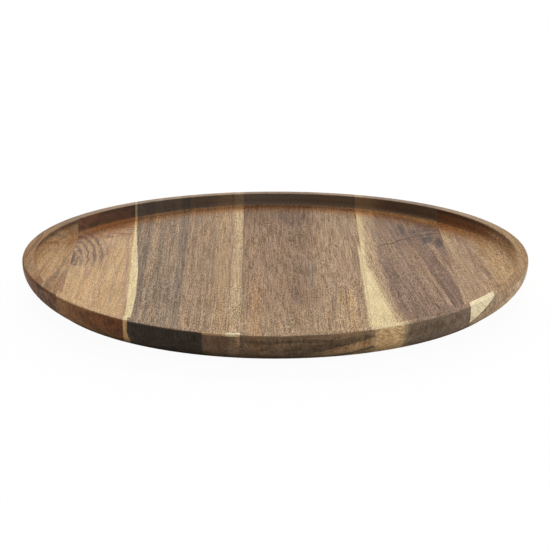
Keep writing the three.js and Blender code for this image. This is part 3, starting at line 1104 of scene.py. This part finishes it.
def fifth_wood(tones, form):
    """Board whose cream sapwood runs in a wedge along its left joint into purple-brown heartwood."""
    wood = Board("fifth_wood", form, seed=5.0, lean=7.0, pith=(10.0, -60.0), wander=0.6)
    middle = wood.between(wood.y, -75, 40, 15)
    wood.lay(tones.plum)
    wood.lay(tones.fawn, wood.streaks(2.2, 220), 0.55)
    wood.lay(tones.smoke, wood.streaks(1.4, 160, 0.48, 0.62), 0.40)
    wood.lay(tones.smoke, wood.step(wood.y, 30, 110), 0.15)
    wood.lay(tones.fawn, wood.ribbon(90.5, 94.5, 1.5), middle, 0.6)
    wood.lay(tones.tan, wood.ribbon(97.6, 99.4, 1.0), middle, 0.7)
    wood.lay(tones.damson, wood.ribbon(100.6, 102.6, 2.0), middle, 0.42)
    wood.lay(tones.damson, wood.ribbon(106.6, 108.6, 2.0), middle, 0.32)
    wood.lay(tones.tan, wood.ribbon(110.8, 112.8, 1.0), middle, 0.5)
    wood.patches(
        (tones.damson, 0.5, 77, -12, 2.2, 50, 4),
        (tones.fawn, 0.7, 95, 96, 7, 14),
    )

    # Grey clouds at the back
    clouds = wood.clouds(wood.place, (5, 13, 8), 0.44, 0.60)
    wood.lay(tones.smoke, clouds, wood.patch(100, 80, 22, 36, soft=0.5), 0.55)
    wood.patches(
        (tones.smoke, 0.9, 88, 90, 2.6, 20, 6, 0.5, 0.5),
        (tones.smoke, 0.95, 104, 63, 4.6, 10, 0.0, 0.4, 0.6),
        (tones.smoke, 0.95, 112, 57, 3.0, 13, 0.0, 0.4, 0.6),
        (tones.smoke, 0.75, 106.5, 92, 3.4, 9, 0.0, 0.6, 0.6),
    )
    for start, stop, width in (
        ((95, 83), (113, 89), 3.2),
        ((99, 97), (112, 101), 3.0),
        ((98, 66), (112, 70), 2.0),
    ):
        wood.lay(tones.smoke, wood.hairline(start, stop, width, sway=1.5), 0.6)
    # Painted golden glow in a ring by the back wall
    back = wood.both(wood.step(wood.y, 60, 90), wood.well)
    wood.lay(tones.wheat, wood.step(wood.radius, 146, 154), back, 0.6)

    # Sapwood along the left joint, wider towards the front, over a ragged lighter border
    ragged = wood.stray(wood.fibres, (0.9, 40, 4), 7.0)
    past_joint = wood.math("ADD", wood.math("SUBTRACT", wood.x, JOINTS_MM[3]), ragged)
    ahead = wood.math("MAXIMUM", wood.math("SUBTRACT", 10.0, wood.y), 0.0)
    beyond = wood.math("SUBTRACT", past_joint, wood.math("MULTIPLY_ADD", ahead, 0.108, 2.4))
    behind = wood.math("SUBTRACT", past_joint, wood.math("MULTIPLY_ADD", ahead, 0.06, 12.0))
    sap = wood.fall(beyond, -1.8, 1.6)
    wood.lay(tones.biscuit, wood.fall(behind, -3.5, 2.0), 0.85)
    wood.lay(tones.straw, wood.fall(beyond, 0.0, 8.0), 0.8)
    wood.patches((tones.smoke, 0.5, 67.2, 78, 1.3, 40))
    wood.lay(tones.cream, sap)
    wood.lay(tones.wheat, wood.step(wood.y, 40, 90), sap, 0.5)
    wood.stain(tones.oil_and_corner_glow, wood.front_wall, sap, 0.45)
    rays = wood.math("MAXIMUM", wood.flecks(32), wood.flecks(-28))
    wood.lay(tones.rust, wood.front_wall, sap, rays, 0.5)

    # Crack across the grain, and a fainter one ahead of it
    for start, stop, strength, width in (
        ((71, 52), (79, 54), 0.85, 1.1),
        ((79, 54), (86, 63.5), 0.85, 1.1),
        ((86, 63.5), (96, 71), 0.85, 1.1),
        ((96, 71), (111, 81), 0.85, 1.1),
        ((82, 53), (103, 52), 0.35, 0.9),
    ):
        wood.lay(tones.pore, wood.hairline(start, stop, width, sway=0.8), strength)

    # Turned surfaces, with painted orange and golden glow in rings by the back wall
    far_back = wood.both(wood.step(wood.y, 80, 110), wood.well)
    golden_glow = wood.both(wood.step(wood.radius, 144, 150), wood.fall(wood.x, 65, 75))
    upper_wall = wood.both(wood.step(wood.radius, 156.0, 156.6), wood.step(wood.x, 72, 82))
    # Painted orange and golden glow in rings by the back wall and on its cove
    wood.lay(tones.amber, wood.step(wood.radius, 150, 155), far_back, 0.35)
    wood.lay(tones.honey, golden_glow, wood.step(wood.y, 90, 120), wood.well, 0.8)
    wood.lay(tones.honey, wood.cove_ring, wood.step(wood.y, 80, 110), 0.6)
    wood.lay(tones.smoke, upper_wall, wood.well, 0.45)
    wood.lay(tones.moss, wood.front_wall, wood.flip(sap), 0.7)
    return wood.finish(tones, pores=0.2, grain=0.9, threads=1.9, sap=sap, stir=0.4)


def right_end_wood(tones, form):
    """Tan board, golden towards the rim, with cream sapwood at the front of its lip."""
    wood = Board("right_end_wood", form, seed=6.0, lean=5.0, pith=(40.0, -50.0))
    wood.lay(tones.tan)
    wood.lay(tones.biscuit, wood.streaks(2.6, 140), 0.6)
    wood.lay(tones.plum, wood.streaks(1.7, 100, 0.50, 0.66), 0.5)
    wood.lay(tones.wheat, wood.step(wood.x, 134, 146), 0.75)
    wood.patches(
        (tones.straw, 0.7, 119.5, 50, 3.4, 64, 5),
        (tones.russet, 0.85, 132, 26, 4.5, 56, 3),
        (tones.plum, 0.75, 126, 66, 2.4, 26),
        (tones.smoke, 0.55, 139, -18, 2.2, 26, 5),
        (tones.smoke, 0.7, 145, -46, 6, 15, 10),
    )
    wood.lay(tones.rust, wood.step(wood.y, 78, 112), wood.well, 0.2)
    wood.patches((tones.amber, 0.4, 141, 46, 8, 30))

    # Around the well: painted golden glow and shade by its wall, the wall's colour, a spot, and a
    # painted lip edge line
    back = wood.both(wood.step(wood.y, 20, 60), wood.well)
    side = wood.both(wood.between(wood.y, -5, 50, 20), wood.well)
    corner = wood.both(wood.step(wood.y, 30, 80), wood.well)
    # Painted golden glow in a ring by the back wall
    wood.lay(tones.wheat, wood.step(wood.radius, 146, 154), back, 0.6)
    wood.lay(tones.rust, wood.well_wall, wood.step(wood.y, -10, 40), 0.7)
    wood.lay(tones.amber, wood.well_wall, wood.fall(wood.x, 126, 138), 0.5)
    # Painted golden glow in a ring by the right wall
    wood.lay(tones.honey, wood.step(wood.radius, 144, 152), side, 0.5)
    # Painted shade with an orange glow in the back corner
    wood.stain(tones.oil_and_corner_glow, wood.step(wood.radius, 142, 155), corner, 0.6)
    wood.lay(tones.pore, wood.dot(148.5, 29, 1.0), 0.85)
    # Painted shade line along the lip's inner edge
    wood.lay(tones.pore, wood.lip_edge_shade, wood.step(wood.true_y, -10, 30), 0.6)

    # Outer wall, and the sapwood that a slanting growth ring cuts off at the front
    slope = wood.math("MULTIPLY_ADD", wood.true_x, -0.77, wood.true_z)
    sap = wood.both(wood.step(slope, -82.4, -81.7), wood.fall(wood.true_y, -86, -82))
    wall = wood.both(wood.step(wood.end, 0.05, 0.3), wood.ahead)
    wood.lay(tones.straw, wood.step(wood.true_x, 112, 134), wall, 0.5)
    wood.lay(tones.moss, wood.streaks(1.8, 70, 0.46, 0.58), wall, 0.3)
    wood.lay(tones.moss, wood.bell(slope, -83.2, 0.9), wall, 0.45)
    wood.lay(tones.pale, sap)
    wood.lay(tones.taupe, sap, wall, wood.flecks(-50), 0.3)
    return wood.finish(tones, pores=0.2, grain=0.8, threads=1.8, sap=sap)


def glue_finish(tones):
    """Cured glue: dark amber, a little glossy, clouded where it is thicker."""
    film = Finish("cured_glue", seed=7.0)
    film.lay(tones.glue)
    film.lay(tones.rust, film.clouds(film.wandering(0.8), (3, 9, 3), 0.4, 0.7, 3.0, 0.5), 0.5)
    return film.shown(film.add("ShaderNodeBsdfPrincipled", Base_Color=film.colour, Roughness=0.4))


def floor_finish(setup):
    """Floor that is white to the camera with a faint shadow by the plate, and bounces light back."""
    ground = Finish("pale_floor")
    bounce = ground.add("ShaderNodeBsdfDiffuse", Color=setup.floor)
    pale = ground.add("ShaderNodeBsdfDiffuse", Color=WHITE)
    white = ground.add("ShaderNodeEmission", Color=WHITE)
    far = ground.step(ground.radius, *FLOOR_FADE_MM)
    share = ground.math("MULTIPLY_ADD", far, 1.0 - setup.floor_glow, setup.floor_glow)
    seen = ground.add("ShaderNodeLightPath").outputs["Is Camera Ray"]
    return ground.shown(ground.blend(seen, bounce, ground.blend(share, pale, white)))


# Boards: CAD node, material slot, joint at the left or inner side, side of the plate, and wood
INNER_STAVES = (
    ("second_stave", "honey_wood", 0, second_wood),
    ("third_stave", "taupe_wood", 1, third_wood),
    ("fourth_stave", "russet_wood", 2, fourth_wood),
    ("fifth_stave", "plum_wood", 3, fifth_wood),
)
END_STAVES = (
    ("left_end_stave", "golden_wood", 0, -1, left_end_wood),
    ("right_end_stave", "tan_wood", 4, 1, right_end_wood),
)
GLUE_LINES = (
    "first_glue_line",
    "second_glue_line",
    "third_glue_line",
    "fourth_glue_line",
    "fifth_glue_line",
)


class PLATE_OT_inner_staves(bpy.types.Operator):
    """Adds the four boards that run from the front rim to the back rim"""

    bl_idname = "plate.inner_staves"
    bl_label = "Inner staves"

    def execute(self, context):
        form, tones = context.scene.plate_form, context.scene.wood_tones
        for node, slot, joint, wood in INNER_STAVES:
            left = clear_line(joint, form.glue_film / 2)
            right = clear_line(joint + 1, -form.glue_film / 2)
            width = right[0] - left[0]
            steps = across_steps(width, form)
            sink = softened(np.minimum(steps, 1.0 - steps) * width, form)
            piece = add_slab(f"{node}_wood", left, right, steps, form, sink, wood(tones, form))
            stand_for(piece, node)
        return {"FINISHED"}


class PLATE_OT_end_staves(bpy.types.Operator):
    """Adds the two boards at the left and right rim"""

    bl_idname = "plate.end_staves"
    bl_label = "End staves"

    def execute(self, context):
        form, tones = context.scene.plate_form, context.scene.wood_tones
        for node, slot, joint, side, wood in END_STAVES:
            line = clear_line(joint, side * form.glue_film / 2)
            points, rows, across = end_surface(line, side, form)
            quads, fans = end_faces(rows, across)
            piece = add_piece(f"{node}_wood", points, quads, fans, wood(tones, form))
            stand_for(piece, node)
        return {"FINISHED"}


class PLATE_OT_glue_lines(bpy.types.Operator):
    """Adds the film of cured glue in each joint"""

    bl_idname = "plate.glue_lines"
    bl_label = "Glue lines"

    def execute(self, context):
        form, tones = context.scene.plate_form, context.scene.wood_tones
        material = glue_finish(tones)
        steps = np.array([0.0, 1.0])
        sink = np.full(2, form.arris + form.glue_sink)
        half = form.glue_film / 2 * GLUE_FILL
        for joint, node in enumerate(GLUE_LINES):
            left, right = clear_line(joint, -half), clear_line(joint, half)
            piece = add_slab(f"{node}_film", left, right, steps, form, sink, material)
            stand_for(piece, node)
        return {"FINISHED"}


class PLATE_OT_stage(bpy.types.Operator):
    """Adds the floor, the lamps, the air and the camera"""

    bl_idname = "plate.stage"
    bl_label = "Stage"

    def execute(self, context):
        scene, setup = context.scene, context.scene.plate_stage
        self.add_floor(scene, setup)
        for name, power, size, place, mirrored in LAMPS:
            self.add_lamp(scene, name, getattr(setup, power), size, place, mirrored)
        self.add_air(scene, setup)
        self.add_camera(scene, setup)
        scene.view_settings.view_transform = "Standard"
        return {"FINISHED"}

    def add_floor(self, scene, setup):
        """Wide flat floor just under the foot."""
        corners = np.array([(-1.0, -1.0, 0.0), (1.0, -1.0, 0.0), (1.0, 1.0, 0.0), (-1.0, 1.0, 0.0)])
        mesh = bpy.data.meshes.new("floor")
        mesh.from_pydata(corners * FLOOR_REACH + (0.0, 0.0, FLOOR_LEVEL), [], [(0, 1, 2, 3)])
        mesh.materials.append(floor_finish(setup))
        floor = bpy.data.objects.new("floor", mesh)
        scene.collection.objects.link(floor)

    def add_lamp(self, scene, name, power, size, place, mirrored):
        """Soft rectangular lamp that faces the middle of the plate."""
        data = bpy.data.lights.new(name, "AREA")
        data.shape = "RECTANGLE"
        data.size, data.size_y = size
        data.energy = power
        lamp = bpy.data.objects.new(name, data)
        lamp.location = place
        lamp.visible_glossy = mirrored
        lamp.rotation_mode = "QUATERNION"
        lamp.rotation_quaternion = (-lamp.location).to_track_quat("-Z", "Y")
        scene.collection.objects.link(lamp)

    def add_air(self, scene, setup):
        """Even light from all around, seen as white by the camera."""
        world = bpy.data.worlds.new("air")
        world.use_nodes = True
        tree = world.node_tree
        back = tree.nodes["Background"]
        path = tree.nodes.new("ShaderNodeLightPath")
        strength = tree.nodes.new("ShaderNodeMapRange")
        tree.links.new(path.outputs["Is Camera Ray"], strength.inputs["Value"])
        strength.inputs["To Min"].default_value = setup.air
        strength.inputs["To Max"].default_value = 1.0
        tree.links.new(strength.outputs[0], back.inputs["Strength"])
        back.inputs["Color"].default_value = (*WHITE, 1.0)
        scene.world = world

    def add_camera(self, scene, setup):
        """Camera at the fitted angle and distance, aimed at the plate's middle."""
        data = bpy.data.cameras.new("camera")
        data.lens = setup.lens / MM
        data.sensor_width = SENSOR_MM
        camera = bpy.data.objects.new("camera", data)
        level, rise = math.cos(setup.pitch), math.sin(setup.pitch)
        back = Vector((math.sin(setup.turn) * level, -math.cos(setup.turn) * level, rise))
        aim = Vector((-setup.aim_left, 0.0, setup.aim_height))
        camera.location = aim + setup.distance * back
        camera.rotation_mode = "QUATERNION"
        camera.rotation_quaternion = (-back).to_track_quat("-Z", "Y")
        scene.collection.objects.link(camera)
        scene.camera = camera


class PLATE_PT_sidebar(bpy.types.Panel):
    """Lists the steps that build the plate"""

    bl_label = "Charger Plate"
    bl_idname = "PLATE_PT_sidebar"
    bl_space_type = "VIEW_3D"
    bl_region_type = "UI"
    bl_category = "Charger Plate"

    def draw(self, context):
        for step in STEPS:
            self.layout.operator(step.bl_idname)


STEPS = (PLATE_OT_inner_staves, PLATE_OT_end_staves, PLATE_OT_glue_lines, PLATE_OT_stage)
GROUPS = (("plate_form", PlateForm), ("wood_tones", WoodTones), ("plate_stage", StageSetup))


def register():
    """Registers the settings, steps and panel."""
    for name, group in GROUPS:
        bpy.utils.register_class(group)
        setattr(bpy.types.Scene, name, bpy.props.PointerProperty(type=group))
    for kind in (*STEPS, PLATE_PT_sidebar):
        bpy.utils.register_class(kind)


def unregister():
    """Takes everything that register added away again."""
    for kind in (PLATE_PT_sidebar, *reversed(STEPS)):
        bpy.utils.unregister_class(kind)
    for name, group in reversed(GROUPS):
        delattr(bpy.types.Scene, name)
        bpy.utils.unregister_class(group)


def main():
    """Builds the plate and its stage."""
    register()
    bpy.ops.plate.inner_staves()
    bpy.ops.plate.end_staves()
    bpy.ops.plate.glue_lines()
    bpy.ops.plate.stage()


if __name__ == "__main__":
    main()
